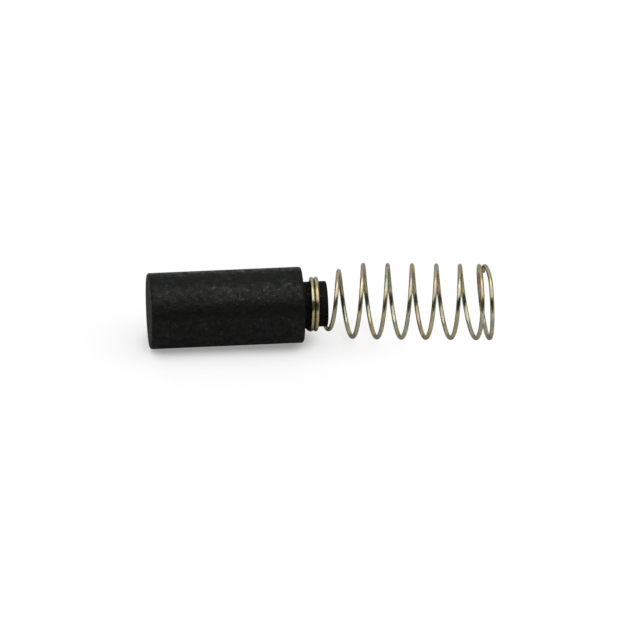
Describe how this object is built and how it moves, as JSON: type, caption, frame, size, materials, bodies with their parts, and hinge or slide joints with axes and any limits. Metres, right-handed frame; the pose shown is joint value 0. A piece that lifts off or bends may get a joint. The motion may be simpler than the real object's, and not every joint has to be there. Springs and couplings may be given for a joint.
{
  "type": "carbon brush",
  "caption": "Round carbon brush for a small motor: a black carbon rod with a turned-down boss that holds a coiled wire pressure spring, standing on its contact face.",
  "frame": {"origin": "centre of the flat contact face, on which the brush stands", "axes": "+Z along the brush from the contact face to the free end of the spring; +X towards the side to which the open coils lean; +Y completes the right-handed frame"},
  "size_m": [0.0051, 0.0048, 0.0214],
  "materials": {
    "carbon": "matte pressed carbon-graphite with a fine grain",
    "spring_wire": "bright drawn spring wire with a pale yellow plating"
  },
  "bodies": {
    "root": {"carbon_block": "carbon", "pressure_spring": "spring_wire"}
  },
  "joints": []
}
